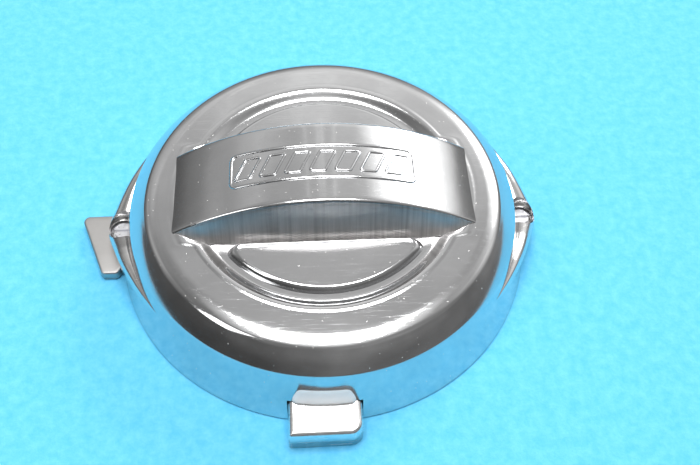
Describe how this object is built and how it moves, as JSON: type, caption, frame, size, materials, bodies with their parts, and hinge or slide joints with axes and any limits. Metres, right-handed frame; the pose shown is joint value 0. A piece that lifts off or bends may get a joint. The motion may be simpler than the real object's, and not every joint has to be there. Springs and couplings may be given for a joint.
{
  "type": "air filter housing",
  "caption": "Round flat-backed air filter housing with a polished domed cover, raised cross bar, screw ears and a pleated element on a centre stud.",
  "frame": {"origin": "centre of the intake bore in the plane of the back face, on the drum's own axis", "axes": "+Z out through the cover, +X towards the right-hand cover screw, +Y away from the lower lug"},
  "size_m": [0.2255, 0.2112, 0.0617],
  "materials": {
    "polished_alloy": "mirror polished casting",
    "cast_alloy": "fine as-cast satin",
    "zinc_steel": "bright zinc plate",
    "washer_steel": "zinc plate",
    "insert_brass": "turned",
    "seal_rubber": "moulded",
    "ground_steel": "ground",
    "filter_paper": "pleated resin paper",
    "perforated_steel": "zinc plate",
    "wire_screen": "woven wire",
    "end_ring_rubber": "moulded soft rubber",
    "foam": "open-cell foam",
    "stud_steel": "zinc plate",
    "pressed_steel": "zinc plate",
    "wing_nut_steel": "cast and plated",
    "rivet_alloy": "plain"
  },
  "bodies": {
    "base": {"back_plate": "cast_alloy", "thread_inserts": "insert_brass", "cover_seal": "seal_rubber", "locating_dowel": "ground_steel", "stud_bridge": "pressed_steel", "centre_stud": "stud_steel", "stud_lock_nut": "stud_steel", "flange_seal": "seal_rubber", "inlet_screens": "wire_screen", "screen_rivets": "rivet_alloy"},
    "cover": {"cover": "polished_alloy", "raised_bar": "polished_alloy"},
    "left_washer": {"cover_washer_left": "washer_steel"},
    "left_screw": {"cover_screw_left": "zinc_steel"},
    "right_washer": {"cover_washer_right": "washer_steel"},
    "right_screw": {"cover_screw_right": "zinc_steel"},
    "element": {"paper_element": "filter_paper", "element_core": "perforated_steel", "element_screen": "wire_screen", "element_top_ring": "end_ring_rubber", "element_bottom_ring": "end_ring_rubber", "foam_sleeve": "foam"},
    "clamp": {"clamp_plate": "pressed_steel"},
    "nut_washer": {"clamp_washer": "washer_steel"},
    "nut": {"wing_nut": "wing_nut_steel"}
  },
  "joints": [
    {"name": "cover_lift", "type": "slide", "parent": "base", "child": "cover", "axis": [0, 0, 1], "range_m": [0, 0.14]},
    {"name": "left_washer_rise", "type": "slide", "parent": "cover", "child": "left_washer", "axis": [0, 0, 1], "range_m": [0, 0.0056]},
    {"name": "left_screw_turn", "type": "hinge", "parent": "left_washer", "child": "left_screw", "pos_m": [-0.0985, 0, 0.01], "axis": [0, 0, 1], "range_deg": [0, 2520]},
    {"name": "right_washer_rise", "type": "slide", "parent": "cover", "child": "right_washer", "axis": [0, 0, 1], "range_m": [0, 0.0056]},
    {"name": "right_screw_turn", "type": "hinge", "parent": "right_washer", "child": "right_screw", "pos_m": [0.0985, 0, 0.01], "axis": [0, 0, 1], "range_deg": [0, 2520]},
    {"name": "element_lift", "type": "slide", "parent": "base", "child": "element", "axis": [0, 0, 1], "range_m": [0, 0.05]},
    {"name": "clamp_lift", "type": "slide", "parent": "base", "child": "clamp", "axis": [0, 0, 1], "range_m": [0, 0.09]},
    {"name": "nut_washer_rise", "type": "slide", "parent": "clamp", "child": "nut_washer", "axis": [0, 0, 1], "range_m": [0, 0.008]},
    {"name": "wing_nut_turn", "type": "hinge", "parent": "nut_washer", "child": "nut", "pos_m": [0, 0, 0.036], "axis": [0, 0, 1], "range_deg": [0, 2880]}
  ],
  "couplings": [
    {"joint": "left_screw_turn", "follows": "left_washer_rise", "rad_per_m": 7854},
    {"joint": "right_screw_turn", "follows": "right_washer_rise", "rad_per_m": 7854},
    {"joint": "wing_nut_turn", "follows": "nut_washer_rise", "rad_per_m": 6283.2},
    {"joint": "element_lift", "follows": "cover_lift", "ratio": 0.34},
    {"joint": "clamp_lift", "follows": "cover_lift", "ratio": 0.62}
  ]
}
